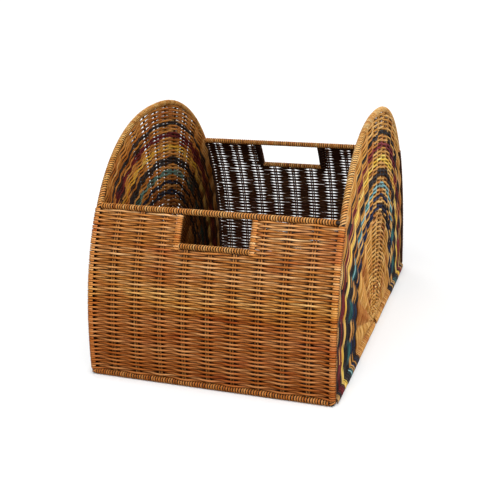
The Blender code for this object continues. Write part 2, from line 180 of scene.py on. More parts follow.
def paint(red, green, blue):
    """A colour as it is read off a paint chart, from 0 to 255, in Blender's linear numbers."""
    shares = (channel / 255 for channel in (red, green, blue))
    return tuple(share / 12.92 if share < 0.04045 else ((share + 0.055) / 1.055) ** 2.4 for share in shares)


def start_material(name, **constants):
    """A Principled material, its constants set on their sockets, and a board for its tree."""
    material = bpy.data.materials.new(name)
    material.use_nodes = True
    shader = material.node_tree.nodes["Principled BSDF"]
    for socket, value in constants.items():
        shader.inputs[socket.replace("_", " ")].default_value = value
    return material, Board(material.node_tree), shader


GRAIN_SCALE = 260.0
GRAIN_DEPTH = 0.0002
IRON_COLOURS = [(0.3, paint(34, 30, 28)), (0.62, paint(58, 50, 46)), (0.78, paint(92, 58, 40))]


def make_iron():
    """Black iron with a fine grain, brown where the grain is high."""
    iron, board, shader = start_material("black_iron", Metallic=1.0)
    place = board.node("ShaderNodeTexCoord", output="Object")
    values = {"Vector": place, "Scale": GRAIN_SCALE, "Detail": 4.0}
    grain = board.node("ShaderNodeTexNoise", values=values, output="Fac")
    board.feed(shader.inputs["Base Color"], board.ramp(IRON_COLOURS, grain))
    board.feed(shader.inputs["Roughness"], grain * 0.4 + 0.4)
    bump = board.node("ShaderNodeBump", values={"Strength": 0.3, "Distance": GRAIN_DEPTH, "Height": grain})
    board.feed(shader.inputs["Normal"], bump)
    return iron


black_iron = make_iron()
for node_name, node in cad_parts.items():
    if node_name.endswith("_rod"):
        node.data.materials.clear()
        node.data.materials.append(black_iron)


# Long canes are wound close round every rod of the frame, a whole coil for each rod. The turns lean a
# little, each is a shade of its own, and a thin lacquer covers them.
SIDE_X = Vector((1, 0, 0))
SIDE_Y = Vector((0, 1, 0))
SIDE_Z = Vector((0, 0, 1))
CANE_TURN_PITCH = 0.0042
TURN_SLANT = 0.0020
TURN_POINTS = 10
TURN_SIDES = 8
TURN_UNEVENNESS = 0.4
TURN_TONE_STEP = 0.37
TURN_WIDTH = 0.52
TURN_WIDTH_SPREAD = 0.4
ARCH_FULLNESS = 2.3
ARCH_POINTS = 600
LINE_STEP = 0.004
ROD_POINTS = 60

rod_low, rod_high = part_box("left_arch_rod")
wrap_low, wrap_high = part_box("left_arch_wrap")
ROD_RADIUS = (rod_high.x - rod_low.x) / 2
WRAP_RADIUS = (wrap_high.x - wrap_low.x) / 2
ARCH_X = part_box("right_arch_rod")[0].x + ROD_RADIUS
ARCH_HALF_DEPTH = wrap_high.y - WRAP_RADIUS
BASE_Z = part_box("front_base_wrap")[1].z / 2
ARCH_TOP = wrap_high.z - WRAP_RADIUS
rim_low, rim_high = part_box("front_rim_wrap")
RIM_Z = (rim_low.z + rim_high.z) / 2


def arch_line(facing=1, offset=0.0):
    """The bent line of the arches in the middle plane, from the foot on one side over to the other."""
    angles = np.linspace(0, math.pi, ARCH_POINTS)
    power = 2 / ARCH_FULLNESS
    out = np.sign(np.cos(angles)) * np.abs(np.cos(angles)) ** power * (ARCH_HALF_DEPTH - offset)
    up = BASE_Z + np.abs(np.sin(angles)) ** power * (ARCH_TOP - BASE_Z - offset)
    return [Vector((0, facing * y, z)) for y, z in zip(out, up)]


def runs_along(line):
    """How far along a line each of its points is."""
    steps = [(after - before).length for before, after in zip(line, line[1:])]
    return np.concatenate([[0], np.cumsum(steps)])


FRONT_LINE = arch_line(-1)
BACK_LINE = arch_line(1)
LINE_RUNS = runs_along(FRONT_LINE)


def run_at(height, line):
    """How far along an arch line it first comes to a height."""
    half = ARCH_POINTS // 2
    return float(np.interp(height, [point.z for point in line[:half]], LINE_RUNS[:half]))


RIM_RUN = run_at(RIM_Z, FRONT_LINE)
FULL_RUN = float(LINE_RUNS[-1])


def start_tree(name, sizes):
    """A Geometry Nodes tree with named inputs, a board for it and its inputs as wires."""
    tree = bpy.data.node_groups.new(name, "GeometryNodeTree")
    tree.interface.new_socket(name="Guide", in_out="INPUT", socket_type="NodeSocketGeometry")
    tree.interface.new_socket(name="Geometry", in_out="OUTPUT", socket_type="NodeSocketGeometry")
    for size, kind in sizes.items():
        tree.interface.new_socket(name=size, in_out="INPUT", socket_type="NodeSocket" + kind)
    tree.interface.new_socket(name="Cane", in_out="INPUT", socket_type="NodeSocketMaterial")
    board = Board(tree)
    entry = board.node("NodeGroupInput").socket.node
    return tree, board, {socket.name: Wire(board, socket) for socket in entry.outputs if socket.name}


def store(board, geometry, name, value, kind="FLOAT"):
    settings = {"data_type": kind, "domain": "POINT"}
    values = {"Geometry": geometry, "Name": name, "Value": value}
    return board.node("GeometryNodeStoreNamedAttribute", settings, values)


def stored(board, name, kind="FLOAT"):
    return board.node("GeometryNodeInputNamedAttribute", {"data_type": kind}, {"Name": name}, "Attribute")


def resample(board, curve, count):
    return board.node("GeometryNodeResampleCurve", {"mode": "COUNT"}, {"Curve": curve, "Count": count})


def repeat(board, curve, amount):
    """Copies of a curve, all in one place, and the number of each copy."""
    values = {"Geometry": curve, "Amount": amount}
    copies = board.node("GeometryNodeDuplicateElements", {"domain": "SPLINE"}, values, "Geometry")
    return copies, Wire(board, copies.socket.node.outputs["Duplicate Index"])


def sweep_cane(board, curve, place, outward, diameter, thickness, along, row, cane, lift=0.0, squash=0.0,
               sides=6):
    """Puts curves in place, sweeps a round cane along them and stores what its material reads.

    along and row say where on which cane a point is, around where on its girth, girth how far round to its
    outward or inward side, and lift how far it stands out of the middle of its panel. squash flattens the
    cane across its outward direction.
    """
    curve = store(board, curve, "core", place, "FLOAT_VECTOR")
    curve = store(board, curve, "outward", outward, "FLOAT_VECTOR")
    for name, value in (("along", along), ("row", row), ("lift", lift)):
        curve = store(board, curve, name, value)
    values = {"Geometry": curve, "Position": stored(board, "core", "FLOAT_VECTOR")}
    curve = board.node("GeometryNodeSetPosition", values=values)
    values = {"Resolution": sides, "Radius": diameter / 2}
    profile = board.node("GeometryNodeCurvePrimitiveCircle", values=values)
    turn = board.node("GeometryNodeSplineParameter", output="Factor")
    profile = store(board, profile, "around", turn)
    mesh = board.node("GeometryNodeCurveToMesh", values={
        "Curve": curve, "Profile Curve": profile, "Scale": thickness, "Fill Caps": True,
    })
    point = board.node("GeometryNodeInputPosition")
    out = stored(board, "outward", "FLOAT_VECTOR")
    stand = (point - stored(board, "core", "FLOAT_VECTOR")).vector("DOT_PRODUCT", out)
    mesh = store(board, mesh, "lift", stored(board, "lift") + stand)
    mesh = store(board, mesh, "girth", stand / (diameter * 0.5))
    values = {"Geometry": mesh, "Offset": out * (stand * squash * -1.0)}
    mesh = board.node("GeometryNodeSetPosition", values=values)
    mesh = board.node("GeometryNodeSetShadeSmooth", values={"Geometry": mesh})
    mesh = board.node("GeometryNodeRealizeInstances", values={"Geometry": mesh})
    mesh = board.node("GeometryNodeSetMaterial", values={"Geometry": mesh, "Material": cane})
    board.node("NodeGroupOutput", values={"Geometry": mesh})


def grow(name, slot, tree, lines, sizes, *nodes):
    """Runs a tree on its guide lines, keeps the result as a plain mesh, and ties it to the frame."""
    mesh = bpy.data.meshes.new(name)
    points = [point for line in lines for point in line]
    starts = np.cumsum([0] + [len(line) for line in lines])
    edges = [
        (start + step, start + step + 1)
        for start, line in zip(starts, lines) for step in range(len(line) - 1)
    ]
    mesh.from_pydata(points, edges, [])
    piece = bpy.data.objects.new(name, mesh)
    bpy.context.scene.collection.objects.link(piece)
    growth = piece.modifiers.new("growth", "NODES")
    growth.node_group = tree
    for socket in tree.interface.items_tree:
        if socket.in_out == "INPUT" and socket.name in sizes:
            growth[socket.identifier] = sizes[socket.name]
    evaluated = piece.evaluated_get(bpy.context.evaluated_depsgraph_get())
    grown = bpy.data.meshes.new_from_object(evaluated)
    piece.modifiers.clear()
    piece.data = grown
    for helper in ("core", "outward"):
        grown.attributes.remove(grown.attributes[helper])
    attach(piece, "root")
    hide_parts(*nodes)
    return piece


def make_winding_tree():
    """A cane wound round its guide line, every turn against the last."""
    tree, board, size = start_tree("Wound cane", {
        "Rod Radius": "Float", "Wrap Radius": "Float", "Turn Pitch": "Float", "Side": "Vector",
        "Slant": "Float", "Row Number": "Float",
    })
    guide = board.node("GeometryNodeMeshToCurve", values={"Mesh": size["Guide"]})
    length = board.node("GeometryNodeCurveLength", values={"Curve": guide})
    turns = length / size["Turn Pitch"]
    curve = resample(board, guide, turns * TURN_POINTS)
    run = board.node("GeometryNodeSplineParameter", output="Length")
    unevenness = board.noise([run * 90.0, size["Row Number"] * 7.3, 0.0]) - 0.5
    turn = (run / size["Turn Pitch"] + unevenness * TURN_UNEVENNESS) * (2 * math.pi)
    tangent = board.node("GeometryNodeInputTangent")
    up = tangent.vector("CROSS_PRODUCT", size["Side"])
    outward = size["Side"] * turn.math("COSINE") + up * turn.math("SINE")
    thickness = size["Wrap Radius"] - size["Rod Radius"]
    reach = size["Rod Radius"] + thickness * (unevenness * 0.12 + 0.45)
    place = board.node("GeometryNodeInputPosition") + outward * reach
    place = place + tangent * (turn.math("COSINE") * size["Slant"])
    squash = 1.0 - thickness / size["Turn Pitch"]
    row = size["Row Number"] + (run / size["Turn Pitch"]).math("FLOOR") * TURN_TONE_STEP
    breadth = board.noise([run * 120.0, size["Row Number"] * 5.1, 9.0], 2.0)
    width = breadth * TURN_WIDTH_SPREAD + TURN_WIDTH
    sweep_cane(board, curve, place, outward, size["Turn Pitch"], width, turn * reach, row, size["Cane"], 0.0,
               squash, TURN_SIDES)
    return tree


BLUSH = (*paint(228, 190, 172), 1.0)
# Painted shade: how deep the dark of the hollows reaches and how softly it fades, the dark along the top and
# bottom edges of each cane, the dark of a wall's inner face, and the redder tint and darkening of an end
# panel's inner face.
HOLLOW_SHADE_DEPTH = 0.0018
SHADED_INSIDE_HOLLOW_DEPTH = 0.0032
HOLLOW_SHADE_FADE = 0.0014
GROOVE_SHADE_EDGE = 0.7
SHADED_INSIDE_GROOVE_EDGE = 0.6
GROOVE_SHADE_WIDTH = 0.6
GROOVE_SHADE_FADE = 0.001
INNER_FACE_SHADE_COLOUR = (*paint(24, 7, 1), 1.0)
INNER_FACE_SHADE_EDGE = -0.0002
INNER_FACE_SHADE_FADE = 0.0016
INNER_SHADE_TINT = (*paint(252, 218, 184), 1.0)
INNER_EDGE = 0.0012
INNER_FADE = 0.003
INNER_LIGHT_TOP = 0.36
INNER_LIGHT_DEPTH = 0.2
ZONE_SPAN = 0.3
FIBRE_DEPTH = 0.0003


def tone_stops(pale, middle, deep):
    """Where the three colours of a cane lie on the ramp of its tones."""
    return [(0.30, deep), (0.47, middle), (0.66, pale)]


def make_cane(name, colours, zones=None, has_shaded_inside=False, foot=None):
    """Lacquered cane: each length has a tone of its own, with fibres along it and painted shade in its
    hollows.

    The colours are a pale, a middle and a deep one, and a dark one that is painted shade in the hollows and
    in the grooves between canes. zones gives the tint of the canes used at each height, which for the wound
    cane includes painted light at the arch crowns. A weave with a shaded inside has painted shade all over
    its inner face, lighter along the top and bottom edges of its canes. foot gives the colours of the canes
    that carry on an end panel's rows down to its feet, and with it the inner face takes a redder tint and
    painted shade that darkens towards the bottom.
    """
    cane, board, shader = start_material(name, Coat_Weight=0.03, Coat_Roughness=0.3, Specular_IOR_Level=0.07)
    along, row, around, girth, lift = map(board.read, ("along", "row", "around", "girth", "lift"))
    length_tone = board.noise([along * 7.0, row * 3.7, 0.0], 1.0)
    streak = board.noise([along * 45.0, row * 5.3, around * 2.0], 3.0)
    fibre = board.noise([along * 160.0, row * 9.1, around * 26.0], 2.0)
    own_tone = board.noise([row * 11.3, along * 1.5, 71.0], 0.0)
    tone = length_tone * 0.44 + streak * 0.3 + own_tone * 0.26
    color = board.ramp(tone_stops(*colours[:3]), tone)
    if foot:
        lower = board.ramp(tone_stops(*foot[:3]), tone)
        splice = board.noise([row * 0.77, 0.0, 53.0], 0.0) * 0.5 - 0.1
        fall = board.read("fall")
        patch = (board.noise([along * 8.0, row * 7.7, 83.0], 1.0) - 0.5) * (fall * 6.0 + 0.4)
        color = board.mix((fall + patch).math("GREATER_THAN", splice), color, lower)
    level = board.split(board.node("ShaderNodeTexCoord", output="Object"))[2]
    if zones:
        wander = board.noise([along * 4.0, row * 0.3, 31.0], 1.0) * 0.05 - 0.025
        color = board.mix(1.0, color, board.ramp(zones, (level + wander) / ZONE_SPAN), "MULTIPLY")
    blush = ((board.noise([along * 11.0, row * 0.11, 61.0], 2.0) - 0.5) * 5.0).between(0.0, 1.0)
    color = board.mix(blush if has_shaded_inside or foot else blush * 0.4, color, BLUSH, "MULTIPLY")
    # Painted shade where a cane lies deep in its panel, behind the pairs and at the crossings, and along its
    # top and bottom edges, where the canes beside it shade it.
    height = lift if has_shaded_inside else lift.math("ABSOLUTE")
    depth = SHADED_INSIDE_HOLLOW_DEPTH if has_shaded_inside else HOLLOW_SHADE_DEPTH
    hollow_shade = ((depth - height) / (depth + HOLLOW_SHADE_FADE)).between(0.0, 0.95)
    edge = SHADED_INSIDE_GROOVE_EDGE if has_shaded_inside else GROOVE_SHADE_EDGE
    groove_shade = ((edge - girth.math("ABSOLUTE")) / GROOVE_SHADE_WIDTH).between(0.0, 0.85)
    if has_shaded_inside:
        groove_shade = groove_shade * (lift / GROOVE_SHADE_FADE + 1.0).between(0.2, 1.0)
    hollow_shade = hollow_shade.math("MAXIMUM", groove_shade)
    # Painted shade on the inner face of an end panel: a redder tint, and a darkening that grows towards the
    # bottom.
    if foot:
        inside = ((INNER_EDGE - lift) / INNER_FADE).between(0.0, 1.0)
        color = board.mix(inside, color, INNER_SHADE_TINT, "MULTIPLY")
        sunk_shade = ((INNER_LIGHT_TOP - level) / INNER_LIGHT_DEPTH).between(0.4, 0.94)
        hollow_shade = hollow_shade.math("MAXIMUM", inside * sunk_shade)
    color = board.mix(hollow_shade, color, (*colours[3], 1.0))
    # Painted shade over the inner face of a wall, lighter along the top and bottom edges of the canes, where
    # light comes through the slits.
    if has_shaded_inside:
        inside_shade = ((INNER_FACE_SHADE_EDGE - lift) / INNER_FACE_SHADE_FADE).between(0.0, 0.9)
        inside_shade = inside_shade * (girth.math("ABSOLUTE") * 0.9 + 0.4).between(0.0, 1.0)
        color = board.mix(inside_shade, color, INNER_FACE_SHADE_COLOUR)
    board.feed(shader.inputs["Base Color"], color)
    board.feed(shader.inputs["Roughness"], fibre * 0.2 + 0.4)
    values = {"Strength": 0.35, "Distance": FIBRE_DEPTH, "Height": fibre + streak * 0.6}
    board.feed(shader.inputs["Normal"], board.node("ShaderNodeBump", values=values))
    return cane


# The wound cane is tinted by height, reddish at the base; the paler tints at the top are painted light on the
# crowns of the arches.
WOUND_TINTS_AND_CROWN_LIGHT = [(0.0, paint(228, 184, 148)), (0.36, paint(224, 196, 164)), (0.60, paint(226, 210, 190)),
               (0.94, paint(244, 214, 184)), (1.0, paint(250, 234, 206))]
# The wound cane's pale, middle and deep colours, and the painted shade between its turns.
WOUND_COLOURS_AND_SHADE = (paint(254, 226, 166), paint(226, 168, 94), paint(146, 86, 30), paint(44, 16, 1))
WOUND_CANE = make_cane("wound_cane", WOUND_COLOURS_AND_SHADE, WOUND_TINTS_AND_CROWN_LIGHT)
# The right arch is wound with a paler copy of the wound cane, painted light on that arch.
PAINTED_LIGHT_WOUND_COLOURS = (paint(255, 240, 196), paint(244, 194, 124), paint(178, 112, 48), paint(52, 20, 2))
ARCH_CANES = (WOUND_CANE, make_cane("painted_light_wound_cane", PAINTED_LIGHT_WOUND_COLOURS, WOUND_TINTS_AND_CROWN_LIGHT))
WINDING = make_winding_tree()


def wind(name, line, side, row_number, nodes, wrap_radius=WRAP_RADIUS, cane=WOUND_CANE):
    """Winds cane round one stretch of rod."""
    sizes = {
        "Rod Radius": ROD_RADIUS, "Wrap Radius": wrap_radius, "Turn Pitch": CANE_TURN_PITCH, "Side": side,
        "Slant": TURN_SLANT, "Row Number": float(row_number), "Cane": cane,
    }
    return grow(name, "wound_cane", WINDING, [line], sizes, *nodes)


def stretch(line, start, end, x=0.0):
    """The part of an arch line between two runs, moved across to x."""
    runs = np.linspace(start, end, max(2, round((end - start) / LINE_STEP)))
    columns = [np.interp(runs, LINE_RUNS, [point[axis] for point in line]) for axis in range(3)]
    return [Vector((x, y, z)) for _, y, z in zip(*columns)]


for number, side_name in enumerate(("left", "right")):
    x = ARCH_X * (2 * number - 1)
    nodes = [f"{side_name}_arch_wrap"]
    crown = stretch(FRONT_LINE, RIM_RUN - WRAP_RADIUS, FULL_RUN - RIM_RUN + WRAP_RADIUS, x)
    wind(f"{side_name}_arch_winding", crown, SIDE_X, 11 + number, nodes, cane=ARCH_CANES[number])
    for end_name, line in (("front", FRONT_LINE), ("back", BACK_LINE)):
        tip = Vector((x, line[0].y, TURN_SLANT + (WRAP_RADIUS - ROD_RADIUS) / 2))
        foot = [tip, *stretch(line, 0.0, WRAP_RADIUS, x)]
        wind(f"{side_name}_{end_name}_foot_winding", foot, SIDE_X, 21 + number, nodes)

for number, rod_name in enumerate(("front_rim", "back_rim", "front_base", "back_base")):
    low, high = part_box(f"{rod_name}_wrap")
    middle = (low + high) / 2
    spare = CANE_TURN_PITCH if "base" in rod_name else 0.0
    ends = (low.x - spare, high.x + spare)
    line = [Vector((x, middle.y, middle.z)) for x in np.linspace(*ends, ROD_POINTS)]
    wind(f"{rod_name}_winding", line, SIDE_Y, 31 + number, [f"{rod_name}_wrap"])
for number, rod_name in enumerate(("left_base", "right_base")):
    low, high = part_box(f"{rod_name}_wrap")
    x = ARCH_X * (2 * number - 1)
    line = [Vector((x, y, BASE_Z)) for y in np.linspace(low.y, high.y, ROD_POINTS)]
    wind(f"{rod_name}_winding", line, SIDE_X, 41 + number, [f"{rod_name}_wrap"])


# A bent rod hangs from the rim round each hand hole. Its bar is wound like the rims, and the walls'
# canes turn back round its uprights.
class HandHole:
    """Where a hole's uprights and bar are, across and along its wall."""

    def __init__(self, name, line):
        low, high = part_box(f"{name}_handle_wrap")
        rod_low, rod_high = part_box(f"{name}_handle_rod")
        self.wrap_radius = (high.x - low.x - (rod_high.x - rod_low.x)) / 2 + ROD_RADIUS
        self.left = rod_low.x + ROD_RADIUS
        self.right = rod_high.x - ROD_RADIUS
        self.bar_run = run_at(rod_low.z + ROD_RADIUS, line)


HOLES = {"front": HandHole("front", FRONT_LINE), "back": HandHole("back", BACK_LINE)}
for number, (wall, line) in enumerate((("front", FRONT_LINE), ("back", BACK_LINE))):
    hole = HOLES[wall]
    middle = stretch(line, hole.bar_run, hole.bar_run + WRAP_RADIUS)[0]
    bar = [Vector((x, middle.y, middle.z)) for x in np.linspace(hole.left, hole.right, ROD_POINTS // 2)]
    wind(f"{wall}_hole_winding", bar, SIDE_Y, 51 + number, [f"{wall}_handle_wrap"], hole.wrap_radius)


# The stakes are round canes that stand in pairs, nine in the front wall and ten in the back one. The
# pairs over a hand hole are cut off at its bar.
STAKE_DIAMETER = 0.003
STAKE_SPACING = 0.0039
STAKE_BEND = 0.0006
FRONT_PAIRS = (-0.160, 0.040, 9)
BACK_PAIRS = (-0.171, 0.038, 10)


def make_stake_tree():
    """Pairs of canes side by side along a guide line, repeated across it."""
    tree, board, size = start_tree("Stake pairs", {
        "First Pair": "Float", "Pair Spacing": "Float", "Pairs": "Int", "Stake Spacing": "Float",
        "Stake Diameter": "Float", "Row Number": "Float",
    })
    guide = board.node("GeometryNodeMeshToCurve", values={"Mesh": size["Guide"]})
    copies, number = repeat(board, guide, size["Pairs"] * 2.0)
    pair = (number / 2.0).math("FLOOR")
    beside = number - pair * 2.0 - 0.5
    run = board.node("GeometryNodeSplineParameter", output="Length")
    row = size["Row Number"] + number
    bend = board.noise([run * 25.0, row * 3.1, 0.0]) - 0.5
    x = size["First Pair"] + pair * size["Pair Spacing"] + beside * size["Stake Spacing"] + bend * STAKE_BEND
    place = board.node("GeometryNodeInputPosition") + x * SIDE_X
    outward = board.node("GeometryNodeInputTangent").vector("CROSS_PRODUCT", SIDE_X)
    sweep_cane(board, copies, place, outward, size["Stake Diameter"], 1.0, run, row, size["Cane"])
    return tree


# The stakes' pale, middle and deep colours, and the painted shade of their hollows.
STAKE_COLOURS_AND_SHADE = (paint(214, 158, 96), paint(182, 120, 64), paint(134, 78, 32), paint(58, 22, 2))
STAKE_CANE = make_cane("stake_cane", STAKE_COLOURS_AND_SHADE)
STAKES = make_stake_tree()


def plant(name, line, pairs, row_number, nodes):
    """Stands a run of stake pairs along a line."""
    first, spacing, count = pairs
    sizes = {
        "First Pair": first, "Pair Spacing": spacing, "Pairs": count, "Stake Spacing": STAKE_SPACING,
        "Stake Diameter": STAKE_DIAMETER, "Row Number": float(row_number), "Cane": STAKE_CANE,
    }
    return grow(name, "stake_cane", STAKES, [line], sizes, *nodes)


def split_pairs(pairs, hole):
    """The pairs left of a hole, over it and right of it, each as a run of its own."""
    first, spacing, count = pairs
    places = [first + number * spacing for number in range(count)]
    groups = (
        [x for x in places if x < hole.left],
        [x for x in places if hole.left <= x <= hole.right],
        [x for x in places if x > hole.right],
    )
    return [(group[0], spacing, len(group)) for group in groups]


WALLS = {"front": (FRONT_LINE, -1.0, FRONT_PAIRS), "back": (BACK_LINE, 1.0, BACK_PAIRS)}
for number, (wall, (line, facing, pairs)) in enumerate(WALLS.items()):
    hole = HOLES[wall]
    left, over, right = split_pairs(pairs, hole)
    tall = stretch(line, WRAP_RADIUS, RIM_RUN - WRAP_RADIUS)
    short = stretch(line, WRAP_RADIUS, hole.bar_run - hole.wrap_radius)
    plant(f"{wall}_left_stakes", tall, left, 100 + 50 * number, [f"{wall}_stakes"])
    plant(f"{wall}_hole_stakes", short, over, 120 + 50 * number, [f"{wall}_stakes"])
    plant(f"{wall}_right_stakes", tall, right, 135 + 50 * number, [f"{wall}_stakes"])


# The front and back walls are one weave each, row on row: a cane passes in front of one pair and behind
# the next, goes round the arch rod at the end, and comes back as the next row.
WEAVER_DIAMETER = 0.0032
WALL_ROW_PITCH = 0.00345
POINT_SPACING = 0.003
ROD_TURN = math.radians(230)
CANE_HUG = {"front": (1.3, 6.0), "back": (3.2, 3.2), "ends": (1.2, 6.0)}
ROD_GAP_SHARE = 0.4
CANE_LEAN = 0.0007
WALL_SWAY = 0.0025
WALL_DRIFT = 0.005
THINNEST_CANE = 0.94
THICKNESS_SPREAD = 0.26


def over_and_under(phase, row, front_hug, back_hug):
    """1 in front of a pair and -1 behind it. A cane that hugs the pairs more is sooner back in line."""
    swing = ((phase + row) * math.pi).math("COSINE")
    hug = back_hug + swing.math("GREATER_THAN", 0.0) * (front_hug - back_hug)
    return swing.math("ABSOLUTE").math("POWER", hug) * swing.math("SIGN")


def make_wall_tree():
    """Rows across a wall, which follow its stake pairs and go round the rods at both ends."""
    tree, board, size = start_tree("Wall rows", {
        "Facing": "Float", "Left Rod": "Float", "Right Rod": "Float", "First Pair": "Float",
        "Pair Spacing": "Float",
        "Pairs": "Int", "First Row": "Float", "Row Pitch": "Float", "Rows": "Int", "Row Number": "Float",
        "Phase": "Float", "Weaver Diameter": "Float", "Stake Diameter": "Float", "Rod Radius": "Float",
        "Turn": "Float", "Front Hug": "Float", "Back Hug": "Float", "Point Spacing": "Float",
    })
    guide = board.node("GeometryNodeMeshToCurve", values={"Mesh": size["Guide"]})
    width = size["Right Rod"] - size["Left Rod"]
    turn_radius = size["Rod Radius"] + size["Weaver Diameter"] * 0.5
    turn_run = size["Turn"] * turn_radius
    total = width + turn_run * 2.0
    line = board.node("GeometryNodeCurvePrimitiveLine", values={"End": (1, 0, 0)})
    line = resample(board, line, total / size["Point Spacing"])
    copies, number = repeat(board, line, size["Rows"])
    number = number * 1.0
    row = size["Row Number"] + number
    travel = board.node("GeometryNodeSplineParameter", output="Factor") * total - turn_run
    x = travel.between(0.0, width)
    angle = (travel - x) / turn_radius
    across = size["Left Rod"] + x
    last_pair = size["First Pair"] + (size["Pairs"] - 1.0) * size["Pair Spacing"]
    phase = (x / (size["First Pair"] - size["Left Rod"])).between(0.0, 1.0)
    phase = phase + ((across - size["First Pair"]) / size["Pair Spacing"]).between(0.0, size["Pairs"] - 1.0)
    phase = phase + ((across - last_pair) / (size["Right Rod"] - last_pair)).between(0.0, 1.0)
    gap = x.math("MINIMUM", width - x) / (size["Pair Spacing"] * ROD_GAP_SHARE)
    near_rod = 1.0 - gap.between(0.0, 1.0)
    pair_reach = (size["Stake Diameter"] + size["Weaver Diameter"]) * 0.5
    reach = pair_reach + (turn_radius - pair_reach) * near_rod
    sway = board.noise([across * 28.0, row * 1.9, 3.0], 1.0) - 0.5
    lean = board.noise([across * 22.0, row * 2.3, 11.0], 1.0) - 0.5
    swing = over_and_under(phase + size["Phase"], number, size["Front Hug"], size["Back Hug"])
    level = (swing * reach + lean * CANE_LEAN) * angle.math("COSINE")
    drift = board.noise([across * 5.0, row * 0.06, 41.0], 1.0) - 0.5
    run = size["First Row"] + number * size["Row Pitch"] + sway * WALL_SWAY + drift * WALL_DRIFT
    settings = {"mode": "LENGTH", "use_all_curves": True}
    sample = board.node("GeometryNodeSampleCurve", settings, {"Curves": guide, "Length": run}, "Position")
    tangent = Wire(board, sample.socket.node.outputs["Tangent"])
    outward = tangent.vector("CROSS_PRODUCT", SIDE_X) * size["Facing"]
    place = sample + (across + turn_radius * angle.math("SINE")) * SIDE_X + outward * level
    thickness = board.noise([across * 6.0, row * 4.1, 5.0], 1.0) * THICKNESS_SPREAD + THINNEST_CANE
    diameter = size["Weaver Diameter"]
    sweep_cane(board, copies, place, outward, diameter, thickness, travel, row, size["Cane"], level)
    return tree


HEIGHT_TINTS = [(0.0, paint(216, 184, 160)), (0.36, paint(230, 198, 172)), (0.47, paint(255, 248, 214)),
                (0.60, paint(250, 240, 232))]
# The weavers' pale, middle and deep colours, and the painted shade of their hollows.
CANE_COLOURS_AND_SHADE = (paint(250, 206, 148), paint(210, 142, 72), paint(152, 80, 14), paint(56, 18, 0))
WOVEN_CANE = make_cane("woven_cane", CANE_COLOURS_AND_SHADE, HEIGHT_TINTS, has_shaded_inside=True)
WALL_ROWS = make_wall_tree()


def weave(name, line, facing, rods, pairs, phase, runs, row_number, nodes, turn=ROD_TURN,
          hug=CANE_HUG["front"], rod_radius=ROD_RADIUS, point_spacing=POINT_SPACING):
    """Weaves rows between two rods, from one run along the wall to another, and returns how many."""
    first, spacing, count = pairs
    rows = round((runs[1] - runs[0]) / WALL_ROW_PITCH) + 1
    sizes = {
        "Facing": facing, "Left Rod": rods[0], "Right Rod": rods[1], "First Pair": first,
        "Pair Spacing": spacing, "Pairs": count, "First Row": runs[0],
        "Row Pitch": (runs[1] - runs[0]) / (rows - 1), "Rows": rows, "Row Number": float(row_number),
        "Phase": float(phase), "Weaver Diameter": WEAVER_DIAMETER, "Stake Diameter": STAKE_DIAMETER,
        "Rod Radius": rod_radius, "Turn": turn, "Front Hug": hug[0], "Back Hug": hug[1],
        "Point Spacing": point_spacing, "Cane": WOVEN_CANE,
    }
    grow(name, "woven_cane", WALL_ROWS, [line], sizes, *nodes)
    return rows


for number, (wall, (line, facing, pairs)) in enumerate(WALLS.items()):
    hole = HOLES[wall]
    left, over, right = split_pairs(pairs, hole)
    guide = stretch(line, 0.0, RIM_RUN + WRAP_RADIUS)
    half = WEAVER_DIAMETER / 2
    low_runs = (WRAP_RADIUS + half, hole.bar_run - hole.wrap_radius - half)
    base_row = 300 + 200 * number
    hug = CANE_HUG[wall]
    rows = weave(f"{wall}_wall_weave", guide, facing, (-ARCH_X, ARCH_X), pairs, 0, low_runs, base_row,
                 [f"{wall}_weave"], hug=hug)
    high_runs = (low_runs[1] + WALL_ROW_PITCH, RIM_RUN - WRAP_RADIUS - half)
    weave(f"{wall}_left_weave", guide, facing, (-ARCH_X, hole.left), left, rows % 2, high_runs, base_row + 80,
          [f"{wall}_weave"], hug=hug)
    skipped = left[2] + over[2]
    weave(f"{wall}_right_weave", guide, facing, (hole.right, ARCH_X), right, rows + skipped, high_runs,
          base_row + 120, [f"{wall}_weave"], hug=hug)


# The bottom is woven like the walls, on nine pairs of stakes that run from front to back. Its rows lie
# between the two base rods of the ends and don't go round them.
BASE_PAIRS = (-0.160, 0.040, 9)
BASE_POINT_SPACING = POINT_SPACING * 1.6
weave_low, weave_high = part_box("base_weave")
base_line = [Vector((0, y, BASE_Z)) for y in np.linspace(weave_low.y, weave_high.y, 2 * ROD_POINTS)]
plant("bottom_stakes", base_line, BASE_PAIRS, 700, ["base_stakes"])
base_runs = (WEAVER_DIAMETER / 2, weave_high.y - weave_low.y - WEAVER_DIAMETER / 2)
base_rods = (weave_low.x, weave_high.x)
weave("bottom_weave", base_line, 1.0, base_rods, BASE_PAIRS, 0, base_runs, 720, ["base_weave"], turn=0.0,
      rod_radius=STAKE_DIAMETER / 2, point_spacing=BASE_POINT_SPACING)


# Each end panel is woven in arches round the middle of its base rod, on a fan of 21 stake pairs. Most rows
# are plain cane, and some are dyed black, burgundy, yellow, turquoise or navy. At the feet the canes' ends
# hang over the base rod.
END_PAIRS = 21
FOOT_FLATNESS = 0.6
TAIL_SHARE = 0.02
TAIL_BEND = math.radians(25)
TAIL_HASTE = 6.0
END_SWAY = 0.0018
END_FULLNESS = 1.22
END_THICKNESSES = (0.6, 1.32)
THINNEST_END_CANE = 0.88
END_THICKNESS_SPREAD = 0.24
OUTER_POINTS = 320
INNER_POINTS = 170
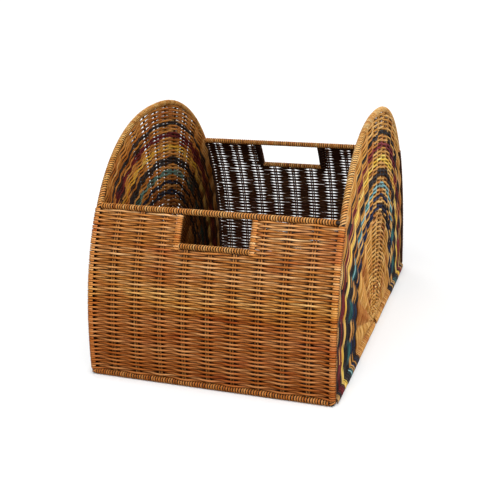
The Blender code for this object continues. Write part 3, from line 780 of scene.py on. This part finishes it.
# The slot of each dye, and the pale, middle and deep colours of its canes and the painted shade of their
# hollows.
DYES = {
    "natural": ("woven_cane", (252, 208, 134), (204, 144, 66), (122, 66, 12), (52, 22, 2)),
    "brown": ("woven_cane", (226, 166, 98), (172, 108, 48), (104, 54, 14), (44, 16, 1)),
    "pale": ("woven_cane", (252, 222, 168), (230, 186, 118), (170, 112, 46), (56, 18, 0)),
    "black": ("dyed_cool_cane", (70, 62, 62), (32, 28, 30), (14, 11, 13), (16, 8, 4)),
    "burgundy": ("dyed_warm_cane", (164, 70, 70), (104, 30, 38), (54, 14, 20), (16, 8, 4)),
    "yellow": ("dyed_warm_cane", (255, 238, 150), (250, 206, 76), (196, 138, 34), (16, 8, 4)),
    "turquoise": ("dyed_cool_cane", (166, 206, 206), (116, 170, 176), (70, 124, 132), (16, 8, 4)),
    "teal": ("dyed_cool_cane", (78, 140, 142), (28, 64, 66), (12, 30, 34), (16, 8, 4)),
    "navy": ("dyed_cool_cane", (52, 66, 106), (26, 36, 66), (16, 22, 42), (16, 8, 4)),
}
# Runs of rows from the arch inwards. A run says how many rows it has and which canes they take in turn,
# each with its dye at the crown and the dye it takes on the way down to the feet.
END_ROWS = {
    "border": [(8, [("natural", "pale"), ("natural", "natural")])],
    "warm_band": [
        (2, [("black", "black")]), (4, [("natural", "black"), ("natural", "burgundy")]),
        (3, [("burgundy", "burgundy")]), (4, [("natural", "burgundy"), ("natural", "black")]),
        (3, [("yellow", "yellow"), ("yellow", "pale")]), (4, [("natural", "yellow"), ("natural", "black")]),
    ],
    "cool_band": [
        (4, [("black", "black")]), (3, [("natural", "black"), ("natural", "teal")]),
        (3, [("turquoise", "teal"), ("turquoise", "black")]),
        (3, [("natural", "natural"), ("natural", "teal")]),
        (2, [("navy", "navy"), ("navy", "black")]), (3, [("natural", "black"), ("natural", "natural")]),
        (3, [("navy", "black"), ("navy", "navy")]), (2, [("natural", "black")]),
    ],
    "centre": [(38, [("natural", "natural"), ("natural", "brown")])],
    "hub": [(12, [("natural", "natural")])],
}


def make_end_tree():
    """Rows of one ring of an end panel, from foot to foot along the arch, on a fan of stake pairs."""
    tree, board, size = start_tree("End rows", {
        "Panel X": "Float", "Facing": "Float", "Hub Z": "Float", "Outer Top": "Float", "Inner Top": "Float",
        "Outer Foot": "Float", "Inner Foot": "Float", "Ring Rows": "Int", "First Row": "Int", "Rows": "Int",
        "Row Step": "Int", "Row Number": "Float", "Gaps": "Float", "Phase": "Float",
        "Weaver Diameter": "Float", "Stake Diameter": "Float", "Points": "Int", "Front Hug": "Float",
        "Back Hug": "Float", "Foot Flatness": "Float", "Tail": "Float", "Tail Bend": "Float",
        "Rod Z": "Float", "Wrap Radius": "Float",
    })
    guide = board.node("GeometryNodeMeshToCurve", values={"Mesh": size["Guide"]})
    line = board.node("GeometryNodeCurvePrimitiveLine", values={"End": (1, 0, 0)})
    copies, index = repeat(board, resample(board, line, size["Points"]), size["Rows"])
    number = size["First Row"] + index * size["Row Step"]
    row = size["Row Number"] + number
    whole = size["Tail"] * 2.0 + 1.0
    travel = board.node("GeometryNodeSplineParameter", output="Factor") * whole - size["Tail"]
    share = travel.between(0.0, 1.0)
    hang = (travel - share).math("ABSOLUTE") / size["Tail"]
    settings = {"mode": "FACTOR", "use_all_curves": True}
    edge = board.node("GeometryNodeSampleCurve", settings, {"Curves": guide, "Factor": share}, "Position")
    hub = board.node("ShaderNodeCombineXYZ", values=[0.0, 0.0, size["Hub Z"]])
    spoke = edge - hub
    reach = spoke.vector("LENGTH")
    way = spoke.vector("NORMALIZE")
    _, away, up = board.split(way)
    fall = away.math("ABSOLUTE").math("ARCTAN2", up) / (math.pi / 2)
    fall = fall * fall
    curves = store(board, copies, "fall", fall)
    depth = (number + 0.5) / size["Ring Rows"]
    top_width = size["Outer Top"] - size["Inner Top"]
    foot_width = size["Outer Foot"] - size["Inner Foot"]
    top = size["Outer Top"] + (size["Inner Top"] - size["Outer Top"]) * depth
    foot = size["Outer Foot"] + (size["Inner Foot"] - size["Outer Foot"]) * depth
    pitch = (top_width * (1.0 - fall) + foot_width * fall) * reach / size["Ring Rows"]
    sway = board.noise([share * reach * 40.0, row * 1.9, 7.0], 1.0) - 0.5
    out = (top + (foot - top) * fall) * reach + sway * END_SWAY
    lean = board.noise([share * reach * 30.0, row * 2.3, 17.0], 1.0) - 0.5
    lift = (size["Stake Diameter"] + size["Weaver Diameter"]) * 0.5 * (1.0 - fall * size["Foot Flatness"])
    swing = over_and_under(share * size["Gaps"] + size["Phase"], row, size["Front Hug"], size["Back Hug"])
    level = swing * lift + lean * CANE_LEAN
    rod_reach = size["Wrap Radius"] + size["Weaver Diameter"] * 0.5
    start = ((size["Hub Z"] - size["Rod Z"]) / rod_reach).math("ARCSINE")
    bend = start - hang * (start + size["Tail Bend"])
    is_tail = (hang * TAIL_HASTE).between(0.0, 1.0)
    level = level + (bend.math("COSINE") * rod_reach - level) * is_tail
    drop = (size["Hub Z"] - size["Rod Z"] - bend.math("SINE") * rod_reach) * is_tail
    outward = board.node("ShaderNodeCombineXYZ", values=[size["Facing"], 0.0, 0.0])
    place = hub + way * out + size["Panel X"] * SIDE_X + outward * level - drop * SIDE_Z
    thickness = (pitch / size["Weaver Diameter"] * END_FULLNESS).between(*END_THICKNESSES)
    unevenness = board.noise([share * 6.0, row * 4.1, 5.0], 1.0)
    thickness = thickness * (unevenness * END_THICKNESS_SPREAD + THINNEST_END_CANE)
    along = travel * reach * 3.0
    diameter = size["Weaver Diameter"]
    sweep_cane(board, curves, place, outward, diameter, thickness, along, row, size["Cane"], level)
    return tree


END_WEAVE = make_end_tree()
HUB_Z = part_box("left_hub_weave")[0].z
INNER_LINE = [point for point in arch_line(-1, WRAP_RADIUS) if point.z > HUB_Z]
HUB_EYE = 0.02
BORDER_TUCK = 0.002


def dye_colours_and_shade(dye):
    """The pale, middle and deep colours of a dye's canes, and the painted shade of their hollows."""
    return [paint(*shade) for shade in DYES[dye][1:]]


END_CANES = {
    (crown, foot): make_cane(f"{crown}_to_{foot}_cane", dye_colours_and_shade(crown), foot=dye_colours_and_shade(foot))
    for runs in END_ROWS.values() for _, canes in runs for crown, foot in canes
}


def ring_edges(side_name, ring):
    """How far out a ring reaches, up the middle of its panel and along the foot, as shares of the panel."""
    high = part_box(f"{side_name}_{ring}_weave")[1].copy()
    if ring == "border":
        high += Vector((0, BORDER_TUCK, BORDER_TUCK))
    return (high.z - HUB_Z) / (INNER_LINE[len(INNER_LINE) // 2].z - HUB_Z), high.y / INNER_LINE[-1].y


def weave_ring(side_name, ring, next_ring, row_number):
    """Weaves a ring of an end panel, the rows of each dye in a run as a piece, and returns how many rows."""
    facing = -1.0 if side_name == "left" else 1.0
    ring_rows = sum(rows for rows, _ in END_ROWS[ring])
    inner = ring_edges(side_name, next_ring) if next_ring else (HUB_EYE, HUB_EYE)
    outer = ring_edges(side_name, ring)
    is_inside = ring in ("centre", "hub")
    first_row = 0
    for rows, canes in END_ROWS[ring]:
        for turn, (crown, foot) in enumerate(canes):
            sizes = {
                "Panel X": ARCH_X * facing, "Facing": facing, "Hub Z": HUB_Z, "Outer Top": outer[0],
                "Inner Top": inner[0], "Outer Foot": outer[1], "Inner Foot": inner[1], "Ring Rows": ring_rows,
                "First Row": first_row + turn, "Rows": len(range(turn, rows, len(canes))),
                "Row Step": len(canes), "Row Number": float(row_number),
                "Gaps": (END_PAIRS + 1) / (2.0 if is_inside else 1.0), "Phase": 0.5 if is_inside else 0.0,
                "Weaver Diameter": WEAVER_DIAMETER, "Stake Diameter": STAKE_DIAMETER,
                "Points": INNER_POINTS if is_inside else OUTER_POINTS, "Front Hug": CANE_HUG["ends"][0],
                "Back Hug": CANE_HUG["ends"][1], "Foot Flatness": 0.0 if is_inside else FOOT_FLATNESS,
                "Tail": TAIL_SHARE, "Tail Bend": TAIL_BEND, "Rod Z": BASE_Z, "Wrap Radius": WRAP_RADIUS,
                "Cane": END_CANES[crown, foot],
            }
            name = f"{side_name}_{ring}_{crown}_rows_{first_row + turn}"
            grow(name, DYES[crown][0], END_WEAVE, [INNER_LINE], sizes, f"{side_name}_{ring}_weave")
        first_row += rows
    return ring_rows


# The stakes of the fan are painted darker than the other canes, as shade where the rows cover them. Every
# second pair starts at the hub, and the others only where the centre ends, because there is no room for them
# further in.
SPOKE_POINTS = 12
HUB_START_SHARE = 0.4
CENTRE_START_SHARE = 0.97
SHADED_SPOKE_COLOURS = (paint(160, 104, 54), paint(116, 70, 30), paint(74, 40, 12), paint(36, 14, 1))


def make_spoke_tree():
    """A cane along each guide line, flat in its panel."""
    tree, board, size = start_tree("Spokes", {
        "Outward": "Vector", "Stake Diameter": "Float", "Row Number": "Float",
    })
    curve = board.node("GeometryNodeMeshToCurve", values={"Mesh": size["Guide"]})
    curve = resample(board, curve, SPOKE_POINTS)
    run = board.node("GeometryNodeSplineParameter", output="Length")
    index = board.node("GeometryNodeInputIndex")
    spoke = board.node("GeometryNodeFieldOnDomain", {"domain": "CURVE", "data_type": "FLOAT"}, [index])
    place = board.node("GeometryNodeInputPosition")
    row = size["Row Number"] + spoke
    sweep_cane(board, curve, place, size["Outward"], size["Stake Diameter"], 1.0, run, row, size["Cane"])
    return tree


SPOKE_CANE = make_cane("spoke_cane", SHADED_SPOKE_COLOURS)
SPOKES = make_spoke_tree()


def end_spokes(side_name):
    """Pairs of lines fanned out to the arch, by turns from the hub and from the outside of the centre."""
    edge_runs = runs_along(INNER_LINE)
    hub = Vector((0, 0, HUB_Z))
    panel = Vector((ARCH_X * (-1 if side_name == "left" else 1), 0, 0))
    hub_start = ring_edges(side_name, "hub")[0] * HUB_START_SHARE
    centre_start = ring_edges(side_name, "centre")[0] * CENTRE_START_SHARE
    lines = []
    for number in range(1, END_PAIRS + 1):
        run = edge_runs[-1] * number / (END_PAIRS + 1)
        tip = Vector([np.interp(run, edge_runs, [point[axis] for point in INNER_LINE]) for axis in range(3)])
        beside = (tip - hub).normalized().cross(SIDE_X) * (STAKE_SPACING / 2)
        start = hub_start if number % 2 else centre_start
        for side in (-1, 1):
            lines.append([hub + (tip - hub) * start + beside * side + panel, tip + beside * side + panel])
    return lines


for number, side_name in enumerate(("left", "right")):
    sizes = {"Outward": SIDE_X * (2.0 * number - 1.0), "Stake Diameter": STAKE_DIAMETER,
             "Row Number": 800.0 + 60.0 * number, "Cane": SPOKE_CANE}
    grow(f"{side_name}_spokes", "stake_cane", SPOKES, end_spokes(side_name), sizes, f"{side_name}_end_stakes")
    row_number = 1000 + 200 * number
    for ring, next_ring in zip(END_ROWS, (*list(END_ROWS)[1:], None)):
        row_number += weave_ring(side_name, ring, next_ring, row_number)


# The studio is a white floor and backdrop under soft light. The floor keeps a soft shade close to the
# basket, a little more on its right, and is plain white further out. The camera stands where the
# photograph was taken from.
CAMERA_PLACE = Vector((0.4747, -1.4339, 0.6829))
CAMERA_TURN = -0.3476
CAMERA_DIP = 0.3412
CAMERA_ROLL = -0.0370
LENS = 67.0


def make_camera():
    flat = math.cos(CAMERA_DIP)
    forward = Vector((math.sin(CAMERA_TURN) * flat, math.cos(CAMERA_TURN) * flat, -math.sin(CAMERA_DIP)))
    right = Vector((math.cos(CAMERA_TURN), -math.sin(CAMERA_TURN), 0))
    up = right.cross(forward)
    level = Matrix((right, up, -forward)).transposed()
    data = bpy.data.cameras.new("camera")
    data.lens = LENS
    camera = bpy.data.objects.new("camera", data)
    turned = (level @ Matrix.Rotation(CAMERA_ROLL, 3, "Z")).to_4x4()
    camera.matrix_world = Matrix.Translation(CAMERA_PLACE) @ turned
    bpy.context.scene.collection.objects.link(camera)
    bpy.context.scene.camera = camera


FLOOR_REACH = 14.0
FLOOR_LIT = (0.45, 0.45, 0.45, 1.0)
FLOOR_SEEN = (0.95, 0.95, 0.95, 1.0)
BACKDROP_GLOW = 1.12
SHADE_WIDTH = 0.02
SHADE_LEAST = 0.25
WHITE_START = 0.42
WHITE_WIDTH = 0.35
WHITE_LEAST = 0.45
WHITE_GAIN = 0.3


def make_stage():
    """A white floor that keeps soft shadows and is otherwise as white as the backdrop."""
    mesh = bpy.data.meshes.new("floor")
    corners = [(-1, -1, 0), (1, -1, 0), (1, 1, 0), (-1, 1, 0)]
    mesh.from_pydata([Vector(corner) * FLOOR_REACH for corner in corners], [], [(0, 1, 2, 3)])
    floor = bpy.data.objects.new("floor", mesh)
    bpy.context.scene.collection.objects.link(floor)
    material, board, shader = start_material("white_floor", Roughness=0.9)
    seen = board.node("ShaderNodeLightPath", output="Is Camera Ray")
    board.feed(shader.inputs["Base Color"], board.mix(seen, FLOOR_LIT, FLOOR_SEEN))
    values = {"Color": (1, 1, 1, 1), "Strength": BACKDROP_GLOW}
    light = board.node("ShaderNodeEmission", values=values)
    place = board.node("ShaderNodeTexCoord", output="Object")
    x, y, _ = board.split(place)
    near = (x * -1.0).between(0.0, WHITE_GAIN) + WHITE_LEAST
    far = ((place.vector("LENGTH") - WHITE_START) / WHITE_WIDTH).between(0.0, 1.0)
    white = near + (1.0 - near) * far
    beside = (x.math("ABSOLUTE") - cad_box[1][0]).math("MAXIMUM", y.math("ABSOLUTE") - cad_box[1][1])
    white = white * (beside / SHADE_WIDTH + SHADE_LEAST).between(0.0, 1.0)
    mix = board.node("ShaderNodeMixShader", values=[seen * white, Wire(board, shader.outputs["BSDF"]), light])
    board.feed(material.node_tree.nodes["Material Output"].inputs["Surface"], mix)
    mesh.materials.append(material)


LAMPS = (
    ("key", (0.5, -1.9, 2.6), 2.0, 75.0),
    ("side", (2.2, -0.7, 1.6), 2.0, 38.0),
    ("rear", (-1.8, 2.2, 1.4), 1.6, 26.0),
)
LAMP_AIM = Vector((0, 0, 0.15))


def make_lights():
    """A dim white world that the camera and reflections see as white, and three soft lamps."""
    world = bpy.data.worlds.new("studio")
    world.use_nodes = True
    bpy.context.scene.world = world
    board = Board(world.node_tree)
    path = board.node("ShaderNodeLightPath").socket.node
    camera, glossy, through = (
        Wire(board, path.outputs[f"Is {kind} Ray"]) for kind in ("Camera", "Glossy", "Transmission")
    )
    seen = camera.math("MAXIMUM", glossy).math("MAXIMUM", through)
    background = world.node_tree.nodes["Background"]
    background.inputs["Color"].default_value = (1, 1, 1, 1)
    board.feed(background.inputs["Strength"], seen * 0.8 + 0.2)
    for name, place, size, power in LAMPS:
        data = bpy.data.lights.new(name, "AREA")
        data.size = size
        data.energy = power
        lamp = bpy.data.objects.new(name, data)
        lamp.location = place
        aim = LAMP_AIM - lamp.location
        lamp.rotation_euler = aim.to_track_quat("-Z", "Y").to_euler()
        bpy.context.scene.collection.objects.link(lamp)


make_camera()
make_stage()
make_lights()
bpy.context.scene.view_settings.view_transform = "Standard"
